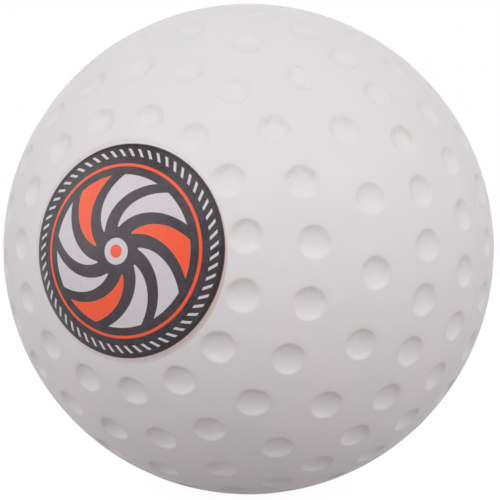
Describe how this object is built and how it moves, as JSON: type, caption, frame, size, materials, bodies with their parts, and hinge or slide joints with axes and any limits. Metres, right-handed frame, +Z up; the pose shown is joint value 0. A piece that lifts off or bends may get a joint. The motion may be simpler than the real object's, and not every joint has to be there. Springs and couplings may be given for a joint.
{
  "type": "field hockey ball",
  "caption": "Hard white dimpled ball for field hockey, moulded in one piece, with a round printed film label on one pole.",
  "frame": {"origin": "centre of the ball", "axes": "-Y through the middle of the smooth cap that carries the label, so that the plane Y = 0 is where the two halves meet; +Z up as the ball is shown; +X to the right of the label"},
  "size_m": [0.073, 0.0731, 0.073],
  "materials": {
    "white_moulding": "satin off-white moulded plastic, with a faint warm stain round the dimples' rims",
    "printed_film": "glossy film with a faint orange-peel surface, printed charcoal with orange and pale rings"
  },
  "bodies": {
    "root": {"ball": "white_moulding", "label": "printed_film"}
  },
  "joints": []
}
